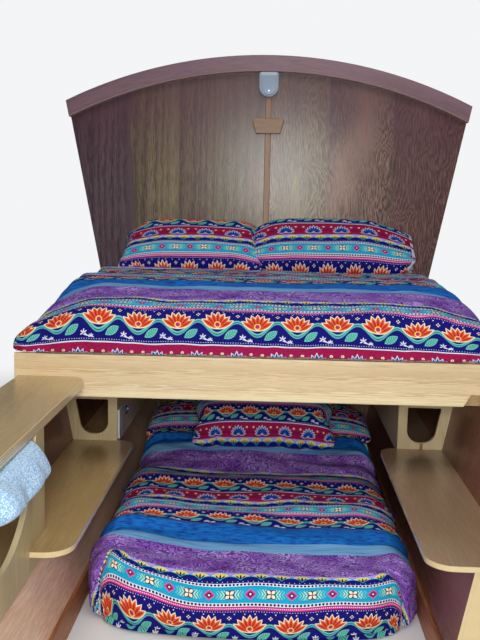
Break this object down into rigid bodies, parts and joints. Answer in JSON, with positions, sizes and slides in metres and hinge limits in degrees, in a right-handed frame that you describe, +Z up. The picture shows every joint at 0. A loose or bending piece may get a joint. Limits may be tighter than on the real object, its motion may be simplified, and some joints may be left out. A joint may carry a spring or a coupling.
{
  "type": "fitted two-tier berth with arched end wall of a vardo wagon",
  "caption": "Bed end of a vardo: wide upper bed behind a rail, low bed beneath, side shelves, lockers, a counter with an open cubby, and the arch-topped end wall.",
  "frame": {"origin": "middle of the footprint at floor level", "axes": "+X to the right seen from the aisle, +Y from the aisle towards the end wall, +Z up"},
  "size_m": [2.3518, 3.518, 2.29],
  "materials": {
    "birch_ply": "clear varnished birch plywood",
    "rail_wood": "oiled pale hardwood",
    "lipping_wood": "oiled pale hardwood strip",
    "stained_ply": "red-brown stained plywood, satin",
    "skirting_wood": "varnished orange-brown softwood",
    "figured_ply": "figured brown veneer plywood, satin",
    "bow_wood": "varnished red-brown hardwood",
    "batten_wood": "varnished pale wood",
    "matchboard": "varnished matchboards",
    "deal": "planed softwood",
    "ticking": "woven mattress cover",
    "printed_cotton": "brushed cotton with printed border bands",
    "grey_boucle": "pale blue-grey looped wool",
    "sensor_plastic": "satin off-white plastic",
    "socket_plastic": "white plastic",
    "brass": "tarnished brass"
  },
  "bodies": {
    "root": {"shelf_left": "birch_ply", "shelf_right": "birch_ply", "locker_front_left": "birch_ply", "locker_front_right": "birch_ply", "locker_side_left": "birch_ply", "locker_side_right": "birch_ply", "upright": "birch_ply", "cubby_floor": "birch_ply", "unit_end": "birch_ply", "counter": "birch_ply", "bed_rail": "rail_wood", "rail_lipping": "lipping_wood", "side_lining_left": "stained_ply", "side_lining_right": "stained_ply", "ledge_panel_left": "stained_ply", "ledge_panel_right": "stained_ply", "ledge_end_right": "stained_ply", "skirting_left": "skirting_wood", "skirting_right": "skirting_wood", "end_lining": "figured_ply", "end_bow": "bow_wood", "end_batten": "batten_wood", "batten_block": "batten_wood", "end_boards": "matchboard", "side_boards_left": "matchboard", "side_boards_right": "matchboard", "slats": "deal", "bearer_left": "deal", "bearer_right": "deal", "rear_bearer": "deal", "upper_mattress": "ticking", "lower_mattress": "ticking", "upper_duvet": "printed_cotton", "lower_duvet": "printed_cotton", "upper_pillow_left": "printed_cotton", "upper_pillow_right": "printed_cotton", "lower_pillow_front": "printed_cotton", "lower_pillow_left": "printed_cotton", "lower_pillow_right": "printed_cotton", "grey_cushion": "grey_boucle", "sensor": "sensor_plastic", "socket_plate": "socket_plastic", "brass_catch": "brass"}
  },
  "joints": []
}
